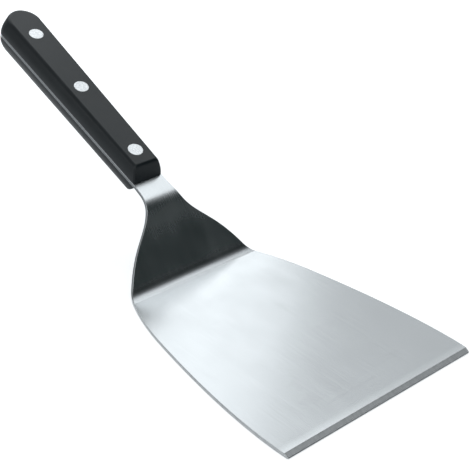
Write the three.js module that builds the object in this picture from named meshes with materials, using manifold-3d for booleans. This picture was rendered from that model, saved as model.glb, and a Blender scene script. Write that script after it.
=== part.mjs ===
// Grill spatula (turner): one bent stainless sheet makes the blade, the cranked neck and the full
// tang, two black moulded scales sandwich the tang, and three two-part compression rivets hold them.
// Millimetres, +Z up. The blade lies flat on z = 0 with its leading edge towards -Y and the handle
// rising towards +Y. The origin is the centre of the blade's flat underside.
import * as THREE from 'three';
import { mergeVertices } from 'three/addons/utils/BufferGeometryUtils.js';
import Module from 'manifold-3d';

const wasm = await Module();
wasm.setup();

// ---- driving dimensions of the stamped sheet ----
const SHEET = 2; // steel thickness
const BLADE_LENGTH = 140.6; // leading edge to the heel, where the mid-planes of blade and neck cross
const NECK_LENGTH = 44.5; // heel to crest, where the mid-planes of neck and tang cross
const NECK_RISE = THREE.MathUtils.degToRad(55.3); // slope of the neck
const TANG_RISE = THREE.MathUtils.degToRad(22.3); // slope of the tang and handle
const HEEL_RADIUS = 9; // mid-plane radius of the bend between blade and neck
const CREST_RADIUS = 16; // mid-plane radius of the bend between neck and tang
const BEVEL_LENGTH = 2.5; // ground bevel on top of the leading edge
const EDGE_THICKNESS = 0.5; // steel left at the leading edge
const ORIGIN_SETBACK = 70; // leading edge to the origin

// Half of the flat blank's outline, as [distance from the leading edge, half-width] controls of
// three cubic curves: the bellied blade side, the shoulder, and the sweep into the slim neck.
const BLADE_SIDE = [[0, 59.5], [27.7, 61.6], [66.3, 57.2], [101.7, 51]];
const SHOULDER = [[101.7, 51], [123.7, 47.1], [147.3, 39.8], [164.7, 24]];
const NECK_SIDE = [[164.7, 24], [175.7, 14], [179.1, 9.4], [197.2, 9.4]];

// ---- driving dimensions of the handle, in its own frame: +Y along the tang from the scales'
// front end, +Z square to the tang, z = 0 at the tang's mid-plane ----
const HANDLE_START = 13.5; // crest to the scales' front end, along the tang
const HANDLE_LENGTH = 139.8; // at the tang, to the tip of the rounded butt
const FRONT_HALF_WIDTH = 9.4; // tang and scale base at the front end
const BUTT_HALF_WIDTH = 12.4; // tang and scale base where the butt starts to round
const BUTT_ROUND = 8; // length of the butt's half-ellipse at the tang
const TOP_FRONT_HALF_WIDTH = 7.6; // the scale's flat outer face at the front end, ridge to ridge
const TOP_BUTT_HALF_WIDTH = 9.1; // and at the butt
const TOP_BUTT_ROUND = 11; // length of the butt's half-ellipse at the outer face
const TOP_BUTT_SETBACK = 0.6; // the butt leans in by this much over the scale's height
const SIDE_FULLNESS = 2.2; // 1 gives straight sloping sides, more gives convex ones
const FRONT_FULLNESS = 1.5; // the same for the front face
const FRONT_CORNER = 1.2; // plan radius of the scale's front corners
const RIDGE_RADIUS = 1.3; // rounding between the sides and the outer face

// The two scales: height above the tang at the front end and at the butt, and how far the front
// face leans back. The lower one thins towards the front.
const UPPER = { frontHeight: 9.4, buttHeight: 9.5, frontSetback: 4 };
const LOWER = { frontHeight: 7.6, buttHeight: 9.8, frontSetback: 5 };

// ---- driving dimensions of the rivets ----
const RIVET_STATIONS = { front: 14.6, middle: 68.4, butt: 116.4 }; // from the scales' front end
const HEAD_RADIUS = 4.25;
const HEAD_HEIGHT = 1.5;
const BARREL_RADIUS = 2.5; // outside of the hollow half
const BORE_RADIUS = 1.8; // inside of the hollow half
const PIN_RADIUS = 1.5; // solid half
const BARREL_TOP = 5.5; // height of the hollow half's mouth above the tang's mid-plane
const BORE_FLOOR = -6.2; // bottom of its blind bore
const PIN_TIP = -5.2; // end of the solid half
const GAP = 0.3; // clearance wherever two pieces meet

// ---- mesh fineness ----
const CURVE_STEPS = 14; // per outline curve
const HEEL_STEPS = 10;
const CREST_STEPS = 6;
const BUTT_STEPS = 14;
const CORNER_STEPS = 5;
const SIDE_STEPS = 6;
const RIDGE_STEPS = 4;
const ROUND_SEGMENTS = 48; // around a rivet or its hole

const BUTT_ROUND_START = HANDLE_LENGTH - BUTT_ROUND;
const HOLE_REACH = 20; // half-length of a drilling that passes right through the handle

// ---------- solids ----------

function solidFrom(geometry) {
  const bare = geometry.index ? geometry.clone() : mergeVertices(geometry);
  bare.deleteAttribute('normal');
  bare.deleteAttribute('uv');
  const merged = mergeVertices(bare, 1e-4);
  const faces = [];
  for (let i = 0; i < merged.index.count; i += 3) {
    const [a, b, c] = [0, 1, 2].map((k) => merged.index.getX(i + k));
    if (a !== b && b !== c && c !== a) faces.push(a, b, c);
  }
  return new wasm.Manifold(new wasm.Mesh({
    numProp: 3,
    vertProperties: Float32Array.from(merged.attributes.position.array),
    triVerts: Uint32Array.from(faces),
  }));
}

function geometryFrom(solid) {
  const mesh = solid.getMesh();
  const geometry = new THREE.BufferGeometry();
  geometry.setAttribute('position', new THREE.BufferAttribute(mesh.vertProperties, 3));
  geometry.setIndex(new THREE.BufferAttribute(mesh.triVerts, 1));
  geometry.computeVertexNormals();
  return geometry;
}

// Skins a stack of closed rings with the same number of points, and caps both ends. Each ring runs
// anticlockwise when seen from the last ring.
function skinRings(rings) {
  const count = rings[0].length;
  const positions = rings.flat().flatMap((p) => [p.x, p.y, p.z]);
  const faces = [];
  for (let r = 0; r + 1 < rings.length; r += 1) {
    for (let i = 0; i < count; i += 1) {
      const a = r * count + i;
      const b = r * count + ((i + 1) % count);
      faces.push(a, b, b + count, a, b + count, a + count);
    }
  }
  const last = (rings.length - 1) * count;
  for (let i = 1; i + 1 < count; i += 1) {
    faces.push(0, i + 1, i);
    faces.push(last, last + i, last + i + 1);
  }
  const geometry = new THREE.BufferGeometry();
  geometry.setAttribute('position', new THREE.Float32BufferAttribute(positions, 3));
  geometry.setIndex(faces);
  return geometry;
}

// A closed turned solid about Z, from [radius, z] corners that start and end on the axis.
function turned(corners) {
  const profile = corners.map(([radius, z]) => new THREE.Vector2(radius, z));
  return solidFrom(new THREE.LatheGeometry(profile, ROUND_SEGMENTS).rotateX(Math.PI / 2));
}

// ---------- the stamped sheet ----------

// Lengths of the sheet's flats and bends along its mid-plane, from the leading edge to the butt.
const heelTangent = HEEL_RADIUS * Math.tan(NECK_RISE / 2);
const crestTangent = CREST_RADIUS * Math.tan((NECK_RISE - TANG_RISE) / 2);
const heelStart = BLADE_LENGTH - heelTangent;
const neckStart = heelStart + HEEL_RADIUS * NECK_RISE;
const crestStart = neckStart + NECK_LENGTH - heelTangent - crestTangent;
const tangStart = crestStart + CREST_RADIUS * (NECK_RISE - TANG_RISE);
const scalesStart = tangStart + HANDLE_START - crestTangent;

// The sheet's mid-plane as a chain of flats and bends. Each has a start and the slope there.
const SEGMENTS = [
  { start: 0, rise: 0, turn: 0 },
  { start: heelStart, rise: 0, turn: 1 / HEEL_RADIUS },
  { start: neckStart, rise: NECK_RISE, turn: 0 },
  { start: crestStart, rise: NECK_RISE, turn: -1 / CREST_RADIUS },
  { start: tangStart, rise: TANG_RISE, turn: 0 },
];

// Point and slope of the mid-plane at a developed distance from the leading edge.
function sheetAt(run) {
  let y = 0;
  let z = SHEET / 2;
  let slope = 0;
  SEGMENTS.forEach(({ start, rise, turn }, i) => {
    if (run < start) return;
    const end = i + 1 < SEGMENTS.length ? SEGMENTS[i + 1].start : Infinity;
    const length = Math.min(run, end) - start;
    slope = rise + turn * length;
    const chord = turn === 0 ? length : (2 / turn) * Math.sin((turn * length) / 2);
    const chordSlope = (rise + slope) / 2;
    y += chord * Math.cos(chordSlope);
    z += chord * Math.sin(chordSlope);
  });
  return { y, z, slope };
}

// [distance from the leading edge, half-width] pairs along one side of the blank.
function blankOutline() {
  const outline = [];
  for (const controls of [BLADE_SIDE, SHOULDER, NECK_SIDE]) {
    const curve = new THREE.CubicBezierCurve(...controls.map(([x, y]) => new THREE.Vector2(x, y)));
    curve.getPoints(CURVE_STEPS).forEach((p) => outline.push([p.x, p.y]));
  }
  for (let i = 0; i < BUTT_STEPS; i += 1) {
    const angle = (i / BUTT_STEPS) * (Math.PI / 2);
    const along = scalesStart + BUTT_ROUND_START + BUTT_ROUND * Math.sin(angle);
    outline.push([along, BUTT_HALF_WIDTH * Math.cos(angle)]);
  }
  return outline;
}

function halfWidthAt(outline, run) {
  const next = outline.findIndex(([along]) => along >= run);
  if (next <= 0) return outline[next < 0 ? outline.length - 1 : 0][1];
  const [from, narrow] = outline[next - 1];
  const [to, wide] = outline[next];
  return THREE.MathUtils.mapLinear(run, from, to, narrow, wide);
}

function steps(from, to, count) {
  return Array.from({ length: count + 1 }, (_, i) => THREE.MathUtils.lerp(from, to, i / count));
}

function bladeSolid() {
  const outline = blankOutline();
  const runs = [
    BEVEL_LENGTH,
    ...outline.map(([along]) => along),
    ...steps(heelStart, neckStart, HEEL_STEPS),
    ...steps(crestStart, tangStart, CREST_STEPS),
  ].sort((a, b) => a - b).filter((run, i, all) => i === 0 || run - all[i - 1] > 0.05);
  const rings = runs.map((run) => {
    const { y, z, slope } = sheetAt(run);
    const half = halfWidthAt(outline, run);
    const ground = Math.max(0, 1 - run / BEVEL_LENGTH) * (SHEET - EDGE_THICKNESS);
    const corner = (x, height) => new THREE.Vector3(
      x,
      y - height * Math.sin(slope),
      z + height * Math.cos(slope),
    );
    const top = SHEET / 2 - ground;
    return [
      corner(-half, -SHEET / 2),
      corner(-half, top),
      corner(half, top),
      corner(half, -SHEET / 2),
    ];
  });
  return solidFrom(skinRings(rings));
}

function drilling(radius, from, to, y) {
  return turned([[0, from], [radius, from], [radius, to], [0, to]]).translate([0, y, 0]);
}

function bladeGeometry() {
  const seat = sheetAt(scalesStart);
  let steel = bladeSolid();
  for (const y of Object.values(RIVET_STATIONS)) {
    const hole = drilling(BARREL_RADIUS + GAP, -HOLE_REACH, HOLE_REACH, y)
      .rotate([THREE.MathUtils.radToDeg(TANG_RISE), 0, 0])
      .translate([0, seat.y, seat.z]);
    steel = steel.subtract(hole);
  }
  return geometryFrom(steel);
}

// ---------- the scales ----------

// Height of a scale's outer face above the tang's mid-plane, at a distance from its front end.
function faceHeight(scale, y) {
  const height = THREE.MathUtils.lerp(scale.frontHeight, scale.buttHeight, y / HANDLE_LENGTH);
  return SHEET / 2 + height;
}

// Closed outline of a scale at one level. Rise is 0 at the tang and 1 at the outer face, lift keeps
// the lowest level off the tang, and inset pulls the outline in where the ridge rounds over.
function scaleRing(scale, rise, lift, inset) {
  const { lerp } = THREE.MathUtils;
  const lean = rise ** SIDE_FULLNESS;
  const front = scale.frontSetback * rise ** FRONT_FULLNESS + inset;
  const narrow = lerp(FRONT_HALF_WIDTH, TOP_FRONT_HALF_WIDTH, lean) - inset;
  const wide = lerp(BUTT_HALF_WIDTH, TOP_BUTT_HALF_WIDTH, lean) - inset;
  const tip = HANDLE_LENGTH - TOP_BUTT_SETBACK * lean - inset;
  const round = lerp(BUTT_ROUND, TOP_BUTT_ROUND, lean);
  const half = [];
  for (const angle of steps(0, Math.PI / 2, CORNER_STEPS)) {
    const x = narrow - FRONT_CORNER * (1 - Math.sin(angle));
    half.push([x, front + FRONT_CORNER * (1 - Math.cos(angle))]);
  }
  for (const angle of steps(0, Math.PI / 2, BUTT_STEPS)) {
    half.push([wide * Math.cos(angle), tip - round * (1 - Math.sin(angle))]);
  }
  const other = half.slice(0, -1).reverse().map(([x, y]) => [-x, y]);
  return [...half, ...other].map(([x, y]) => {
    const height = faceHeight(scale, y) - SHEET / 2;
    return new THREE.Vector3(x, y, SHEET / 2 + lift + rise * height);
  });
}

function scaleSolid(scale) {
  const ridgeRise = 1 - RIDGE_RADIUS / scale.buttHeight;
  const sides = steps(0, ridgeRise, SIDE_STEPS).map((rise, i) => (
    scaleRing(scale, rise, i === 0 ? GAP : 0, 0)
  ));
  const ridge = steps(0, Math.PI / 2, RIDGE_STEPS).slice(1).map((angle) => {
    const rise = ridgeRise + (1 - ridgeRise) * Math.sin(angle);
    return scaleRing(scale, rise, 0, RIDGE_RADIUS * (1 - Math.cos(angle)));
  });
  return solidFrom(skinRings([...sides, ...ridge]));
}

function scaleGeometry(scale) {
  let moulding = scaleSolid(scale);
  for (const y of Object.values(RIVET_STATIONS)) {
    const seat = faceHeight(scale, y) - HEAD_HEIGHT - GAP;
    moulding = moulding.subtract(drilling(BARREL_RADIUS + GAP, 0, HOLE_REACH, y));
    moulding = moulding.subtract(drilling(HEAD_RADIUS + GAP, seat, HOLE_REACH, y));
  }
  return geometryFrom(moulding);
}

// ---------- the rivets ----------

function maleRivetGeometry(top) {
  return geometryFrom(turned([
    [0, PIN_TIP],
    [PIN_RADIUS, PIN_TIP],
    [PIN_RADIUS, top - HEAD_HEIGHT],
    [HEAD_RADIUS, top - HEAD_HEIGHT],
    [HEAD_RADIUS, top],
    [0, top],
  ]));
}

function femaleRivetGeometry(bottom) {
  return geometryFrom(turned([
    [0, bottom],
    [HEAD_RADIUS, bottom],
    [HEAD_RADIUS, bottom + HEAD_HEIGHT],
    [BARREL_RADIUS, bottom + HEAD_HEIGHT],
    [BARREL_RADIUS, BARREL_TOP],
    [BORE_RADIUS, BARREL_TOP],
    [BORE_RADIUS, BORE_FLOOR],
    [0, BORE_FLOOR],
  ]));
}

// ---------- assembly ----------

const brushedSteel = new THREE.MeshStandardMaterial({ color: 0xc9ccce, roughness: 0.32, metalness: 1 });
const blackScale = new THREE.MeshStandardMaterial({ color: 0x191b1c, roughness: 0.45, metalness: 0 });
const rivetSteel = new THREE.MeshStandardMaterial({ color: 0xd9dbdc, roughness: 0.4, metalness: 1 });

function piece(name, geometry, material) {
  const mesh = new THREE.Mesh(geometry, material.clone());
  mesh.name = name;
  return mesh;
}

const turner = new THREE.Group();
turner.position.y = -ORIGIN_SETBACK;
turner.add(piece('turner_blade', bladeGeometry(), brushedSteel));

const handle = new THREE.Group();
const handleSeat = sheetAt(scalesStart);
handle.position.set(0, handleSeat.y, handleSeat.z);
handle.rotation.x = TANG_RISE;
turner.add(handle);

const upperScale = piece('upper_scale', scaleGeometry(UPPER), blackScale);
const lowerScale = piece('lower_scale', scaleGeometry(LOWER), blackScale);
lowerScale.rotation.y = Math.PI;
handle.add(upperScale, lowerScale);

for (const [place, y] of Object.entries(RIVET_STATIONS)) {
  const male = piece(`${place}_rivet_male`, maleRivetGeometry(faceHeight(UPPER, y)), rivetSteel);
  const bottom = -faceHeight(LOWER, y);
  const female = piece(`${place}_rivet_female`, femaleRivetGeometry(bottom), rivetSteel);
  male.position.y = y;
  female.position.y = y;
  handle.add(male, female);
}

export default turner;
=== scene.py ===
"""The grill spatula's visible surfaces: a brushed sheet with deburred edges and a hollow-ground bevel,
two moulded black scales and three pairs of ground rivets, on a plain pale floor.

The pieces are drawn in millimetres and stored in metres. Each one replaces its CAD node and follows
the same driving dimensions, with finer curves, softened edges and pressed-tight seams. The leading
edge is left 0.05 mm thicker than in the CAD.
"""
import math

import bmesh
import bpy
from mathutils import Matrix, Vector


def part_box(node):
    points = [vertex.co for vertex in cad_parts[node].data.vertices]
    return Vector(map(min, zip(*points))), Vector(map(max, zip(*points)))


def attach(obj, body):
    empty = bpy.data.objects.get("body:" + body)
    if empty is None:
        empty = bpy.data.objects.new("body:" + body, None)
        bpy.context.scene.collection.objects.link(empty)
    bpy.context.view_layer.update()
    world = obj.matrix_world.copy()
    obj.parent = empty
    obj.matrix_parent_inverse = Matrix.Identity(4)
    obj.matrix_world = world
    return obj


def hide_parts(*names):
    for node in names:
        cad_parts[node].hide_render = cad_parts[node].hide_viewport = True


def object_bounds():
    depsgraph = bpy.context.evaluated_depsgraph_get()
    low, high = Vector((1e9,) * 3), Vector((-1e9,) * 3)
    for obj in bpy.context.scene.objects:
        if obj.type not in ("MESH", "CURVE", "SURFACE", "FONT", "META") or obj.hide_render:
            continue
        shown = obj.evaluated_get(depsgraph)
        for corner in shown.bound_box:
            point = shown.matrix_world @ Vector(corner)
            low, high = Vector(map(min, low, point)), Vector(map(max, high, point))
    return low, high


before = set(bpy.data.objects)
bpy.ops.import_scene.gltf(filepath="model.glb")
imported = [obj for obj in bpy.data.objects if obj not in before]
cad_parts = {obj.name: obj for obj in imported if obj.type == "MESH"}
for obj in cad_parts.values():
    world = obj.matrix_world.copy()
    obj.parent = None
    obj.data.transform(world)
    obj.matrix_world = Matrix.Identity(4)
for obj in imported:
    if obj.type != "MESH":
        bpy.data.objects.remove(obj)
cad_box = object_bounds()

MM = 0.001  # metres in a millimetre

# ---- the stamped sheet (mm) ----
LEADING_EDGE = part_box("turner_blade")[0][1] / MM  # y of the leading edge in the row frame
SHEET = 2  # steel thickness
BLADE_LENGTH = 140.6  # leading edge to the heel, where the mid-planes of blade and neck cross
NECK_LENGTH = 44.5  # heel to crest, where the mid-planes of neck and tang cross
NECK_RISE = math.radians(55.3)
TANG_RISE = math.radians(22.3)
HEEL_RADIUS = 9
CREST_RADIUS = 16
BEVEL_LENGTH = 2.5
EDGE_THICKNESS = 0.55  # the CAD has 0.5
BEVEL_HOLLOW = 0.03  # how far the wheel hollowed the bevel below its chord
ROLL_OFF_LENGTH = 7  # the polished top dips towards the bevel over this length
ROLL_OFF_DEPTH = 0.1
DEBURR = 0.28  # radius of the softened edges
GROUND_EDGE = 0.05  # and of the tang's edge, ground flush with the scales
FRONT_CORNER_RADIUS = 0.8  # plan radius of the blade's two front corners

# Half of the blank's outline, as [distance from the leading edge, half-width] controls of cubics.
BLADE_SIDE = ((0, 59.5), (27.7, 61.6), (66.3, 57.2), (101.7, 51))
SHOULDER = ((101.7, 51), (123.7, 47.1), (147.3, 39.8), (164.7, 24))
NECK_SIDE = ((164.7, 24), (175.7, 14), (179.1, 9.4), (197.2, 9.4))

# ---- the handle (mm), in its own frame: +Y along the tang, +Z square to it ----
HANDLE_START = 13.5  # crest to the scales' front end
HANDLE_LENGTH = 139.8
FRONT_HALF_WIDTH = 9.4
BUTT_HALF_WIDTH = 12.4
BUTT_ROUND = 8
TOP_FRONT_HALF_WIDTH = 7.6
TOP_BUTT_HALF_WIDTH = 9.1
TOP_BUTT_ROUND = 11
TOP_BUTT_SETBACK = 0.6
SIDE_FULLNESS = 2.2
FRONT_FULLNESS = 1.5
FRONT_CORNER = 1.2
RIDGE_RADIUS = 1.3
UPPER = {"front_height": 9.4, "butt_height": 9.5, "front_setback": 4}
LOWER = {"front_height": 7.6, "butt_height": 9.8, "front_setback": 5}
SEAM = 0.03  # hairline between a scale and the steel
PARTING_ROUND = 0.15  # softening of a scale's edge along the tang

# ---- the rivets (mm) ----
RIVET_STATIONS = {"front": 14.6, "middle": 68.4, "butt": 116.4}
HEAD_RADIUS = 4.25
HEAD_HEIGHT = 1.5
HEAD_EDGE = 0.18  # softening of the ground head's rim
BARREL_RADIUS = 2.5
BORE_RADIUS = 1.8
PIN_RADIUS = 1.5
BARREL_TOP = 5.5
BORE_FLOOR = -6.2
PIN_TIP = -5.2
FIT = 0.05  # clearance round a rivet and its head

# ---- mesh fineness ----
CURVE_STEPS = 40
HEEL_STEPS = 28
CREST_STEPS = 20
BUTT_STEPS = 40
CORNER_STEPS = 10
EDGE_STEPS = 4
SIDE_STEPS = 18
RIDGE_STEPS = 8
BEVEL_STEPS = 8
ROLL_OFF_STEPS = 10
STRAIGHT_STEPS = 12
HEAD_FACE_STEPS = 6
HEAD_SEGMENTS = 96
CREASE = math.radians(28)  # edges that turn more than this stay sharp


# ---------- curves ----------

def lerp(start, end, share):
    return start + (end - start) * share


def steps(start, end, count):
    return [lerp(start, end, i / count) for i in range(count + 1)]


def cubic(controls, share):
    """Point and outward unit normal of a plan curve, both as (run, half-width)."""
    a, b, c, d = (Vector(p) for p in controls)
    rest = 1 - share
    point = a * rest**3 + b * 3 * rest**2 * share + c * 3 * rest * share**2 + d * share**3
    along = (b - a) * rest**2 + (c - b) * 2 * rest * share + (d - c) * share**2
    along.normalize()
    return point, Vector((-along.y, along.x))


heel_tangent = HEEL_RADIUS * math.tan(NECK_RISE / 2)
crest_tangent = CREST_RADIUS * math.tan((NECK_RISE - TANG_RISE) / 2)
heel_start = BLADE_LENGTH - heel_tangent
crest_y = LEADING_EDGE + BLADE_LENGTH + NECK_LENGTH * math.cos(NECK_RISE)
crest_z = SHEET / 2 + NECK_LENGTH * math.sin(NECK_RISE)
neck_start = heel_start + HEEL_RADIUS * NECK_RISE
crest_start = neck_start + NECK_LENGTH - heel_tangent - crest_tangent
tang_start = crest_start + CREST_RADIUS * (NECK_RISE - TANG_RISE)
scales_start = tang_start + HANDLE_START - crest_tangent
sheet_end = scales_start + HANDLE_LENGTH

# The mid-plane as a chain of flats and bends: (start, slope at the start, turn per mm, end).
SEGMENTS = (
    (0, 0, 0, heel_start),
    (heel_start, 0, 1 / HEEL_RADIUS, neck_start),
    (neck_start, NECK_RISE, 0, crest_start),
    (crest_start, NECK_RISE, -1 / CREST_RADIUS, tang_start),
    (tang_start, TANG_RISE, 0, math.inf),
)


def sheet_at(run):
    """(y, z, slope) of the sheet's mid-plane at a developed distance from the leading edge."""
    y, z, slope = LEADING_EDGE, SHEET / 2, 0
    for start, rise, turn, end in SEGMENTS:
        if run < start:
            break
        length = min(run, end) - start
        slope = rise + turn * length
        chord = 2 / turn * math.sin(turn * length / 2) if turn else length
        y += chord * math.cos((rise + slope) / 2)
        z += chord * math.sin((rise + slope) / 2)
    return y, z, slope


def on_sheet(run, x, height):
    """A point at a height above the mid-plane of the bent sheet."""
    y, z, slope = sheet_at(run)
    return Vector((x, y - height * math.sin(slope), z + height * math.cos(slope)))


def handle_frame():
    y, z, _ = sheet_at(scales_start)
    return Matrix.Translation((0, y, z)) @ Matrix.Rotation(TANG_RISE, 4, "X")


# ---------- mesh building ----------

def make_object(name, points, faces, materials, node, finishes=None):
    """A smooth-shaded piece that replaces a CAD node. Points are in mm, in the row frame, and
    finishes holds each face's place in the list of materials."""
    mesh = bpy.data.meshes.new(name)
    mesh.from_pydata([Vector(p) * MM for p in points], [], faces)
    if finishes:
        mesh.polygons.foreach_set("material_index", finishes)
    clean = bmesh.new()
    clean.from_mesh(mesh)
    bmesh.ops.remove_doubles(clean, verts=clean.verts, dist=1e-7)
    bmesh.ops.dissolve_degenerate(clean, edges=clean.edges, dist=1e-7)
    bmesh.ops.recalc_face_normals(clean, faces=clean.faces)
    for face in clean.faces:
        face.smooth = True
    for edge in clean.edges:
        edge.smooth = not edge.is_manifold or edge.calc_face_angle() < CREASE
    clean.to_mesh(mesh)
    clean.free()
    for material in materials:
        mesh.materials.append(material)
    piece = bpy.data.objects.new(name, mesh)
    bpy.context.scene.collection.objects.link(piece)
    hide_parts(node)
    return piece


def finish_piece(piece):
    """Lets large flat faces set the shading, and ties the piece to the body."""
    shading = piece.modifiers.new("flat_face_shading", "WEIGHTED_NORMAL")
    shading.keep_sharp = True
    shading.weight = 100
    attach(piece, "root")


def bridge(rings):
    """Quads between neighbouring closed rings of equal length, numbered ring after ring."""
    count = len(rings[0])
    faces = []
    for r in range(len(rings) - 1):
        for i in range(count):
            a, b = r * count + i, r * count + (i + 1) % count
            faces.append((a, b, b + count, a + count))
    return faces


def drill(piece, tools):
    """Cuts closed tool solids out of a piece, and removes them."""
    for tool in tools:
        cut = piece.modifiers.new("drilling", "BOOLEAN")
        cut.operation = "DIFFERENCE"
        cut.solver = "EXACT"
        cut.object = tool
    bpy.context.view_layer.update()
    evaluated = piece.evaluated_get(bpy.context.evaluated_depsgraph_get())
    drilled = bpy.data.meshes.new_from_object(evaluated)
    piece.modifiers.clear()
    piece.data = drilled
    for tool in tools:
        bpy.data.objects.remove(tool)


def turned_points(corners, place):
    """Rings of a solid turned about Z, from (radius, z) corners, placed by a matrix."""
    turns = [math.tau * i / HEAD_SEGMENTS for i in range(HEAD_SEGMENTS)]
    return [
        [place @ Vector((r * math.cos(a), r * math.sin(a), z)) for a in turns]
        for r, z in corners
    ]


def drilling(radius, low, high, place):
    rings = turned_points([(0, low), (radius, low), (radius, high), (0, high)], place)
    mesh = bpy.data.meshes.new("drilling")
    mesh.from_pydata([p * MM for ring in rings for p in ring], [], bridge(rings))
    clean = bmesh.new()
    clean.from_mesh(mesh)
    bmesh.ops.remove_doubles(clean, verts=clean.verts, dist=1e-7)
    bmesh.ops.recalc_face_normals(clean, faces=clean.faces)
    clean.to_mesh(mesh)
    clean.free()
    tool = bpy.data.objects.new("drilling", mesh)
    bpy.context.scene.collection.objects.link(tool)
    return tool


# ---------- the sheet ----------

POLISHED, SHEARED, GROUND = range(3)  # places in the sheet's list of materials
BEVEL_SIDE = -SHEET / 4  # round the front corners, points above this height climb the bevel


def top_height(run):
    """Height of the sheet's top face above its mid-plane, with the bevel and the roll-off."""
    dip = ROLL_OFF_DEPTH * max(0, 1 - (run - BEVEL_LENGTH) / ROLL_OFF_LENGTH) ** 2
    if run >= BEVEL_LENGTH:
        return SHEET / 2 - dip
    share = max(0, run) / BEVEL_LENGTH
    ridge = SHEET / 2 - ROLL_OFF_DEPTH
    hollow = BEVEL_HOLLOW * 4 * share * (1 - share)
    return lerp(EDGE_THICKNESS - SHEET / 2, ridge, share) - hollow


def blank_outline():
    """(point, outward normal) pairs along one side, from the leading edge to the butt."""
    corner = FRONT_CORNER_RADIUS
    outline = []
    for angle in steps(0, math.pi / 2, CORNER_STEPS)[:-1]:
        normal = Vector((-math.cos(angle), math.sin(angle)))
        outline.append((Vector((corner, BLADE_SIDE[0][1] - corner)) + normal * corner, normal))
    for controls in (BLADE_SIDE, SHOULDER, NECK_SIDE):
        for share in steps(0, 1, CURVE_STEPS):
            point, normal = cubic(controls, share)
            if point.x >= corner:
                outline.append((point, normal))
    butt = sheet_end - BUTT_ROUND
    for angle in steps(0, math.pi / 2, BUTT_STEPS):
        along, across = BUTT_ROUND * math.sin(angle), BUTT_HALF_WIDTH * math.cos(angle)
        normal = Vector((along / BUTT_ROUND**2, across / BUTT_HALF_WIDTH**2)).normalized()
        outline.append((Vector((butt + along, across)), normal))
    return outline


def outline_with_stations(outline, runs):
    """Adds in-between points, so that bends and bevel have stations of their own."""
    dense = list(outline)
    for run in runs:
        after = next(i for i, (point, _) in enumerate(outline) if point.x > run)
        (low, low_normal), (high, high_normal) = outline[after - 1], outline[after]
        if min(run - low.x, high.x - run) < 0.05:
            continue
        share = (run - low.x) / (high.x - low.x)
        dense.append((low.lerp(high, share), low_normal.lerp(high_normal, share).normalized()))
    return sorted(dense, key=lambda station: station[0].x)


def edge_section(run):
    """(inset, height) points from the top face over the deburred edge to the underside. Between
    the scales the edge is ground flush with them and stays crisp."""
    top, bottom = top_height(run), -SHEET / 2
    radius = min(DEBURR, 0.4 * (top - bottom)) if run < scales_start else GROUND_EDGE
    over = [
        (radius * (1 - math.sin(a)), top - radius * (1 - math.cos(a)))
        for a in steps(0, math.pi / 2, EDGE_STEPS)
    ]
    under = [(inset, bottom + top - height) for inset, height in reversed(over)]
    return over + under


def sheet_rings():
    """One open ring per station, from the right-hand top edge round to the underside."""
    stations = steps(0, BEVEL_LENGTH, BEVEL_STEPS)[1:]
    stations += steps(BEVEL_LENGTH, BEVEL_LENGTH + ROLL_OFF_LENGTH, ROLL_OFF_STEPS)[1:]
    stations += steps(heel_start, neck_start, HEEL_STEPS)
    stations += steps(crest_start, tang_start, CREST_STEPS)
    rings = []
    for point, normal in outline_with_stations(blank_outline(), stations):
        ring = []
        for inset, height in edge_section(point.x):
            run, half = point - normal * inset
            if normal.x < -0.5 and height > BEVEL_SIDE:
                height += top_height(run) - top_height(point.x)
            ring.append(on_sheet(run, max(0, half), height))
        rings.append(ring)
    return rings


def sheet_finish(strip, y, count):
    """The finish of a lengthwise strip of the sheet at y: satin faces, walls left sheared beside
    the neck, and the rest ground on a belt."""
    if strip in (count - 2 - EDGE_STEPS, count + EDGE_STEPS):
        beside_neck = LEADING_EDGE + BLADE_LENGTH < y < handle_frame().translation.y
        return SHEARED if beside_neck else GROUND
    short_of_ridge = LEADING_EDGE + BEVEL_LENGTH - 0.1
    on_bevel = strip == count - 1 and y < short_of_ridge
    return GROUND if on_bevel else POLISHED


def build_sheet(materials):
    """The sheet, drilled for the three rivets."""
    right = sheet_rings()
    left = [[Vector((-p.x, p.y, p.z)) for p in ring] for ring in right]
    rings = [side_l[::-1] + side_r for side_l, side_r in zip(left, right)]
    points = [p for ring in rings for p in ring]
    count = len(right[0])
    faces = bridge(rings)
    finishes = [
        sheet_finish(i % (2 * count), points[face[0]].y, count)
        for i, face in enumerate(faces)
    ]
    for k in range(count - 1):  # the wall of the leading edge, strip by strip
        faces.append((count - 1 - k, count - 2 - k, count + k + 1, count + k))
        finishes.append(SHEARED if k == EDGE_STEPS else POLISHED)
    sheet = make_object(
        "blade_neck_and_tang", points, faces, materials,
        "turner_blade", finishes,
    )
    place = handle_frame()
    drill(sheet, [
        drilling(BARREL_RADIUS + FIT, -SHEET, SHEET, place @ Matrix.Translation((0, y, 0)))
        for y in RIVET_STATIONS.values()
    ])
    return sheet


# ---------- the scales ----------

def face_height(scale, y):
    """Height of a scale's outer face above the tang's mid-plane."""
    return SHEET / 2 + lerp(scale["front_height"], scale["butt_height"], y / HANDLE_LENGTH)


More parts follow.
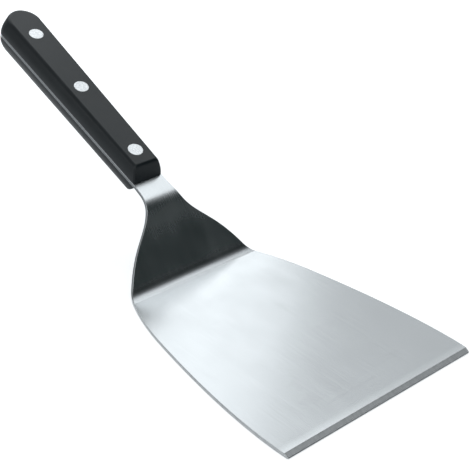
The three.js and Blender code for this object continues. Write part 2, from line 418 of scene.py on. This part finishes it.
def scale_ring(scale, rise, inset, lift=0):
    """Closed outline of a scale at one level; rise is 0 at the tang and 1 at the outer face."""
    lean = rise**SIDE_FULLNESS
    front = scale["front_setback"] * rise**FRONT_FULLNESS + inset
    narrow = lerp(FRONT_HALF_WIDTH, TOP_FRONT_HALF_WIDTH, lean) - inset
    wide = lerp(BUTT_HALF_WIDTH, TOP_BUTT_HALF_WIDTH, lean) - inset
    tip = HANDLE_LENGTH - TOP_BUTT_SETBACK * lean - inset
    round_off = lerp(BUTT_ROUND, TOP_BUTT_ROUND, lean)
    half = [
        (narrow - FRONT_CORNER * (1 - math.sin(a)), front + FRONT_CORNER * (1 - math.cos(a)))
        for a in steps(0, math.pi / 2, CORNER_STEPS)
    ]
    side_start, side_end = half[-1], (wide, tip - round_off)
    half += [
        (lerp(side_start[0], side_end[0], s), lerp(side_start[1], side_end[1], s))
        for s in steps(0, 1, STRAIGHT_STEPS)[1:-1]
    ]
    half += [
        (wide * math.cos(a), tip - round_off * (1 - math.sin(a)))
        for a in steps(0, math.pi / 2, BUTT_STEPS)
    ]
    whole = half + [(-x, y) for x, y in reversed(half[:-1])]
    return [
        Vector((x, y, SHEET / 2 + lift + rise * (face_height(scale, y) - SHEET / 2)))
        for x, y in whole
    ]


def scale_rings(scale):
    ridge_rise = 1 - RIDGE_RADIUS / scale["butt_height"]
    rings = [
        scale_ring(scale, 0, PARTING_ROUND * (1 - math.sin(a)), SEAM + PARTING_ROUND * (1 - math.cos(a)))
        for a in steps(0, math.pi / 2, EDGE_STEPS)
    ]
    rings += [scale_ring(scale, rise, 0) for rise in steps(0, ridge_rise, SIDE_STEPS)[1:]]
    for angle in steps(0, math.pi / 2, RIDGE_STEPS)[1:]:
        rise = lerp(ridge_rise, 1, math.sin(angle))
        rings.append(scale_ring(scale, rise, RIDGE_RADIUS * (1 - math.cos(angle))))
    return rings


def build_scale(name, scale, turn, material, node):
    """A scale drawn above the tang and turned about the handle's own axis into place."""
    place = handle_frame() @ Matrix.Rotation(turn, 4, "Y")
    rings = [[place @ p for p in ring] for ring in scale_rings(scale)]
    count = len(rings[0])
    faces = bridge(rings)
    faces.append(tuple(range(count))[::-1])
    faces.append(tuple(range(count * (len(rings) - 1), count * len(rings))))
    points = [p for ring in rings for p in ring]
    moulding = make_object(name, points, faces, (material,), node)
    tools = []
    for y in RIVET_STATIONS.values():
        hole = place @ Matrix.Translation((0, y, 0))
        seat = face_height(scale, y) - HEAD_HEIGHT - FIT
        tools.append(drilling(BARREL_RADIUS + FIT, 0, 2 * SHEET + seat, hole))
        tools.append(drilling(HEAD_RADIUS + FIT, seat, 2 * SHEET + seat, hole))
    drill(moulding, tools)
    return moulding


# ---------- the rivets ----------

def head_corners(face, inward):
    """(radius, z) corners of a flush head, from the axis over the softened rim to its back."""
    rim = [
        (HEAD_RADIUS - HEAD_EDGE * (1 - math.sin(a)), face + inward * HEAD_EDGE * (1 - math.cos(a)))
        for a in steps(0, math.pi / 2, EDGE_STEPS)
    ]
    rings = [(radius, face) for radius in steps(0, HEAD_RADIUS - HEAD_EDGE, HEAD_FACE_STEPS)[:-1]]
    return rings + rim + [(HEAD_RADIUS, face + inward * HEAD_HEIGHT)]


def build_rivet(name, corners, y, material, node):
    place = handle_frame() @ Matrix.Translation((0, y, 0))
    rings = turned_points(corners, place)
    points = [p for ring in rings for p in ring]
    return make_object(name, points, bridge(rings), (material,), node)


def build_rivets(material):
    pieces = []
    for where, y in RIVET_STATIONS.items():
        top, bottom = face_height(UPPER, y), -face_height(LOWER, y)
        pin = [(PIN_RADIUS, top - HEAD_HEIGHT), (PIN_RADIUS, PIN_TIP), (0, PIN_TIP)]
        barrel = [
            (BARREL_RADIUS, bottom + HEAD_HEIGHT),
            (BARREL_RADIUS, BARREL_TOP),
            (BORE_RADIUS, BARREL_TOP),
            (BORE_RADIUS, BORE_FLOOR),
            (0, BORE_FLOOR),
        ]
        halves = (
            ("pin", head_corners(top, -1) + pin, "male"),
            ("barrel", head_corners(bottom, 1) + barrel, "female"),
        )
        for part, corners, half in halves:
            name, node = f"{where}_{part}_and_head", f"{where}_rivet_{half}"
            pieces.append(build_rivet(name, corners, y, material, node))
    return pieces


# ---------- materials ----------

def new_material(name, base, metallic, roughness):
    material = bpy.data.materials.new(name)
    material.use_nodes = True
    material.diffuse_color = (*base, 1)
    shader = material.node_tree.nodes["Principled BSDF"]
    shader.inputs["Base Color"].default_value = (*base, 1)
    shader.inputs["Metallic"].default_value = metallic
    shader.inputs["Roughness"].default_value = roughness
    return material, shader


def noise(material, size, stretch=(1, 1, 1), detail=2.0):
    """Noise with features of a size in mm, stretched along the object's axes."""
    nodes, links = material.node_tree.nodes, material.node_tree.links
    place = nodes.new("ShaderNodeTexCoord")
    mapping = nodes.new("ShaderNodeMapping")
    mapping.inputs["Scale"].default_value = tuple(1 / s for s in stretch)
    texture = nodes.new("ShaderNodeTexNoise")
    texture.inputs["Scale"].default_value = 1 / (size * MM)
    texture.inputs["Detail"].default_value = detail
    links.new(place.outputs["Object"], mapping.inputs["Vector"])
    links.new(mapping.outputs["Vector"], texture.inputs["Vector"])
    return texture.outputs["Fac"]


def spread(material, value, low, high, start=0.3, end=0.7):
    """Maps a noise value to a range."""
    nodes, links = material.node_tree.nodes, material.node_tree.links
    mapped = nodes.new("ShaderNodeMapRange")
    for name, number in (("From Min", start), ("From Max", end), ("To Min", low), ("To Max", high)):
        mapped.inputs[name].default_value = number
    links.new(value, mapped.inputs["Value"])
    return mapped.outputs["Result"]


def total(material, first, *others):
    """Adds node values up."""
    nodes, links = material.node_tree.nodes, material.node_tree.links
    for other in others:
        adder = nodes.new("ShaderNodeMath")
        adder.operation = "ADD"
        links.new(first, adder.inputs[0])
        links.new(other, adder.inputs[1])
        first = adder.outputs["Value"]
    return first


def tint(material, shader, value, dark, light, start, end):
    """Varies the base colour between two close tints, as a value goes from start to end."""
    nodes, links = material.node_tree.nodes, material.node_tree.links
    ramp = nodes.new("ShaderNodeValToRGB")
    for element, colour in zip(ramp.color_ramp.elements, (dark, light)):
        element.color = (*colour, 1)
    links.new(spread(material, value, 0, 1, start, end), ramp.inputs["Fac"])
    links.new(ramp.outputs["Color"], shader.inputs["Base Color"])


def relief(material, shader, value, depth):
    """Bump of a depth in mm."""
    nodes, links = material.node_tree.nodes, material.node_tree.links
    bump = nodes.new("ShaderNodeBump")
    bump.inputs["Distance"].default_value = depth * MM
    links.new(value, bump.inputs["Height"])
    links.new(bump.outputs["Normal"], shader.inputs["Normal"])


def near_line(material, y, z, reach):
    """1 on a line across the tool at (y, z) mm, fading to 0 at a reach in mm."""
    nodes, links = material.node_tree.nodes, material.node_tree.links
    place = nodes.new("ShaderNodeTexCoord")
    offset = nodes.new("ShaderNodeVectorMath")
    offset.operation = "SUBTRACT"
    offset.inputs[1].default_value = (0, y * MM, z * MM)
    across = nodes.new("ShaderNodeVectorMath")
    across.operation = "MULTIPLY"
    across.inputs[1].default_value = (0, 1, 1)
    distance = nodes.new("ShaderNodeVectorMath")
    distance.operation = "LENGTH"
    links.new(place.outputs["Object"], offset.inputs[0])
    links.new(offset.outputs["Vector"], across.inputs[0])
    links.new(across.outputs["Vector"], distance.inputs[0])
    fade = spread(material, distance.outputs["Value"], 1, 0, 0, reach * MM)
    fade.node.interpolation_type = "SMOOTHSTEP"
    return fade


def brushed_steel():
    """Satin sheet, brushed lengthwise, with soft clouds left by the polishing mop. The heel and the
    crest are rougher. Painted shade darkens the heel; painted light brightens the blade just in front of
    the heel and a strip behind the bevel."""
    steel, shader = new_material("brushed_stainless", (0.62, 0.635, 0.645), 1, 0.24)
    heel_y = LEADING_EDGE + BLADE_LENGTH
    grain = noise(steel, 0.35, (1, 90, 90))
    clouds = noise(steel, 14, (1, 1.6, 1.6), detail=1)
    # Painted shade: darkens the base colour in the heel's bend, and makes the bend rougher.
    heel = near_line(steel, heel_y + 1, SHEET + 1, 6)
    # Painted light: brightens the base colour of the blade just in front of the heel.
    painted_light_before_heel = near_line(steel, heel_y - 12, SHEET, 18)
    crest = near_line(steel, crest_y - 5, crest_z - 7, 15)
    # Painted highlight: brightens the base colour in a strip behind the bevel's ridge.
    ridge = near_line(steel, LEADING_EDGE + BEVEL_LENGTH, SHEET, 5)
    roughness = total(
        steel,
        spread(steel, clouds, 0.21, 0.25),
        spread(steel, grain, -0.01, 0.02),
        spread(steel, heel, 0, 0.08, 0, 1),
        spread(steel, crest, 0, 0.05, 0, 1),
    )
    steel.node_tree.links.new(roughness, shader.inputs["Roughness"])
    # The steel's own grain tone, plus painted highlights behind the bevel and in front of the heel, and
    # painted shade in the heel.
    grain_and_painted_light = total(
        steel,
        spread(steel, ridge, 0, 0.1, 0, 1),
        spread(steel, painted_light_before_heel, 0, 0.07, 0, 1),
        spread(steel, heel, 0, -0.36, 0, 1),
        spread(steel, grain, -0.02, 0.02),
    )
    tint(steel, shader, grain_and_painted_light, (0.32, 0.33, 0.34), (0.92, 0.94, 0.95), -0.3, 0.3)
    relief(steel, shader, clouds, 0.003)
    return steel


def sheared_steel():
    """The stamped edge: greyer and rougher, with fine shear lines across the thickness."""
    steel, shader = new_material("sheared_stainless", (0.34, 0.35, 0.36), 1, 0.45)
    lines = noise(steel, 0.5, (1, 1, 6), detail=2)
    steel.node_tree.links.new(spread(steel, lines, 0.38, 0.55), shader.inputs["Roughness"])
    tint(steel, shader, lines, (0.28, 0.29, 0.3), (0.4, 0.41, 0.42), 0.3, 0.7)
    return steel


def ground_steel():
    """The bevel and the sheet's long edges, ground on a belt: fine scratches square to the edge."""
    steel, shader = new_material("ground_stainless", (0.84, 0.85, 0.86), 1, 0.4)
    scratches = noise(steel, 0.3, (1, 12, 12), detail=2)
    steel.node_tree.links.new(spread(steel, scratches, 0.34, 0.46), shader.inputs["Roughness"])
    tint(steel, shader, scratches, (0.76, 0.77, 0.78), (0.9, 0.91, 0.92), 0.3, 0.7)
    return steel


def black_pom():
    """Moulded acetal: satin black with a very fine grain."""
    pom, shader = new_material("black_pom", (0.005, 0.009, 0.011), 0, 0.34)
    shader.inputs["IOR"].default_value = 1.45
    grain = noise(pom, 0.3, detail=3)
    clouds = noise(pom, 9, detail=2)
    roughness = total(pom, spread(pom, clouds, 0.28, 0.34), spread(pom, grain, 0, 0.05))
    pom.node_tree.links.new(roughness, shader.inputs["Roughness"])
    tint(pom, shader, clouds, (0.0045, 0.008, 0.01), (0.006, 0.01, 0.0125), 0.3, 0.7)
    relief(pom, shader, grain, 0.006)
    return pom


def ground_rivet_steel():
    """Heads ground flush on a belt: a bright, slightly mottled satin."""
    steel, shader = new_material("rivet_stainless", (0.62, 0.63, 0.64), 1, 0.32)
    grain = noise(steel, 0.9, (1, 1.5, 1.5), detail=3)
    links = steel.node_tree.links
    links.new(spread(steel, grain, 0.24, 0.4), shader.inputs["Roughness"])
    tint(steel, shader, grain, (0.55, 0.56, 0.57), (0.78, 0.79, 0.8), 0.35, 0.65)
    relief(steel, shader, grain, 0.008)
    return steel


def pale_floor():
    """Near-white, and a little brighter to the camera than to the object that it lights."""
    floor, shader = new_material("pale_floor", (0.85, 0.86, 0.87), 0, 0.8)
    shader.inputs["Specular IOR Level"].default_value = 0.1
    shader.inputs["Emission Color"].default_value = (1, 1, 1, 1)
    nodes, links = floor.node_tree.nodes, floor.node_tree.links
    path = nodes.new("ShaderNodeLightPath")
    glow = spread(floor, path.outputs["Is Camera Ray"], FLOOR_GLOW_ON_OBJECT, FLOOR_GLOW, 0, 1)
    links.new(glow, shader.inputs["Emission Strength"])
    return floor


# ---------- studio ----------

CAMERA_LENS = 87.33  # mm on a 36 mm sensor
CAMERA_DISTANCE = 0.6096
CAMERA_HEADING = math.radians(40.21)  # from straight ahead of the leading edge, towards -X
CAMERA_ELEVATION = math.radians(30.25)
CAMERA_AIM = Vector((0.02402, 0.06359, 0.01974))
FLOOR_SIZE = 40.0
FLOOR_GLOW = 0.6  # emission that the camera sees
FLOOR_GLOW_ON_OBJECT = 0.03  # and that the object is lit by
CEILING = 0.6  # height of the boxes that the steel mirrors
BOX_TURN = math.radians(37.5)  # plan turn of the back and right boxes
SOFT_WHITE = (0.93, 0.975, 1)
BACKDROP = (0.97, 0.985, 1)  # what the camera sees behind the floor
ROOM_COLOUR = (0.335, 0.351, 0.36)
ROOM_PATCHES = (  # (direction, colour, inner and outer radius in degrees), the later ones on top
    ((-0.66, -0.66, 0.34), (0.56, 0.585, 0.6), 15, 75),  # brighter behind the camera
    ((0.5, -0.68, 0.54), (0.01, 0.018, 0.018), 14, 34),  # the dark side, which the neck mirrors
    ((0.68, -0.68, 0.1), ROOM_COLOUR, 6, 17),  # pale again near the floor
)


def add_floor():
    half = FLOOR_SIZE / 2
    mesh = bpy.data.meshes.new("floor")
    corners = [(-half, -half, 0), (half, -half, 0), (half, half, 0), (-half, half, 0)]
    mesh.from_pydata(corners, [], [(0, 1, 2, 3)])
    mesh.materials.append(pale_floor())
    floor = bpy.data.objects.new("floor", mesh)
    floor.location.z = cad_box[0][2] - 0.0001
    bpy.context.scene.collection.objects.link(floor)


def add_camera():
    level = math.cos(CAMERA_ELEVATION)
    back = Vector((
        -level * math.sin(CAMERA_HEADING),
        -level * math.cos(CAMERA_HEADING),
        math.sin(CAMERA_ELEVATION),
    ))
    data = bpy.data.cameras.new("camera")
    data.lens = CAMERA_LENS
    data.sensor_width = 36
    data.clip_start = 0.01
    camera = bpy.data.objects.new("camera", data)
    camera.location = CAMERA_AIM + back * CAMERA_DISTANCE
    camera.rotation_euler = back.to_track_quat("Z", "Y").to_euler()
    bpy.context.scene.collection.objects.link(camera)
    bpy.context.scene.camera = camera


def add_softbox(name, centre, size, radiance, turn=0.0, aim=None):
    """A rectangular soft light that faces straight down, turned in plan, or faces a point. Its
    power follows from the radiance that the steel mirrors."""
    data = bpy.data.lights.new(name, "AREA")
    data.shape = "RECTANGLE"
    data.size, data.size_y = size
    data.energy = radiance * math.pi * size[0] * size[1]
    data.color = SOFT_WHITE
    light = bpy.data.objects.new(name, data)
    light.location = centre
    light.rotation_euler.z = turn
    if aim:
        light.rotation_euler = (Vector(centre) - Vector(aim)).to_track_quat("Z", "Y").to_euler()
    light.visible_camera = False
    bpy.context.scene.collection.objects.link(light)


def add_lights():
    """Three boxes overhead, which the steel mirrors, and two fills. The back and right boxes meet
    along a turned line, which shows on the blade as the change from bright to grey."""
    along = Vector((math.cos(BOX_TURN), math.sin(BOX_TURN), 0))
    across = Vector((-along.y, along.x, 0))
    join = Vector((0.56, 0.59, CEILING))
    back = join - along * 0.035 + across * 0.3
    right = join + along * 0.21 - across * 0.25
    add_softbox("overhead_box", (0.315, 0.18, CEILING), (0.33, 0.4), 1.16)
    add_softbox("back_box", back, (0.97, 0.6), 1.28, turn=BOX_TURN)
    add_softbox("right_box", right, (0.78, 0.5), 0.38, turn=BOX_TURN)
    middle = Vector((0, 0.09, 0.05))
    add_softbox("camera_side_fill", (-0.55, -0.75, 0.95), (0.7, 0.7), 1.0, aim=middle)
    add_softbox("left_window", (-1.1, 0.5, 0.33), (0.5, 0.3), 1.1, aim=middle)


def room_patch(world, light, direction, colour, inner, outer):
    """Mixes a soft round patch of another colour into the room's light, round a direction."""
    nodes, links = world.node_tree.nodes, world.node_tree.links
    towards = nodes.new("ShaderNodeVectorMath")
    towards.operation = "DOT_PRODUCT"
    towards.inputs[1].default_value = Vector(direction).normalized()
    links.new(nodes.new("ShaderNodeTexCoord").outputs["Generated"], towards.inputs[0])
    share = nodes.new("ShaderNodeMapRange")
    share.interpolation_type = "SMOOTHSTEP"
    share.inputs["From Min"].default_value = math.cos(math.radians(outer))
    share.inputs["From Max"].default_value = math.cos(math.radians(inner))
    links.new(towards.outputs["Value"], share.inputs["Value"])
    mixed = nodes.new("ShaderNodeMixRGB")
    mixed.inputs["Color1"].default_value = (*ROOM_COLOUR, 1)
    mixed.inputs["Color2"].default_value = (*colour, 1)
    links.new(share.outputs["Result"], mixed.inputs["Fac"])
    if light:
        links.new(light, mixed.inputs["Color1"])
    return mixed.outputs["Color"]


def set_world():
    """A pale room with one dark side. The camera sees it plain and near-white."""
    world = bpy.data.worlds.new("studio")
    world.use_nodes = True
    nodes, links = world.node_tree.nodes, world.node_tree.links
    light = None
    for patch in ROOM_PATCHES:
        light = room_patch(world, light, *patch)
    room = nodes["Background"]
    links.new(light, room.inputs["Color"])
    backdrop = nodes.new("ShaderNodeBackground")
    backdrop.inputs["Color"].default_value = (*BACKDROP, 1)
    choice = nodes.new("ShaderNodeMixShader")
    links.new(nodes.new("ShaderNodeLightPath").outputs["Is Camera Ray"], choice.inputs["Fac"])
    links.new(room.outputs["Background"], choice.inputs[1])
    links.new(backdrop.outputs["Background"], choice.inputs[2])
    links.new(choice.outputs["Shader"], nodes["World Output"].inputs["Surface"])
    bpy.context.scene.world = world
    bpy.context.scene.view_settings.view_transform = "Standard"


# ---------- assembly ----------

plastic = black_pom()
pieces = [build_sheet((brushed_steel(), sheared_steel(), ground_steel()))]
pieces.append(build_scale("upper_handle_scale", UPPER, 0, plastic, "upper_scale"))
pieces.append(build_scale("lower_handle_scale", LOWER, math.pi, plastic, "lower_scale"))
pieces += build_rivets(ground_rivet_steel())
for piece in pieces:
    finish_piece(piece)

add_floor()
add_camera()
add_lights()
set_world()
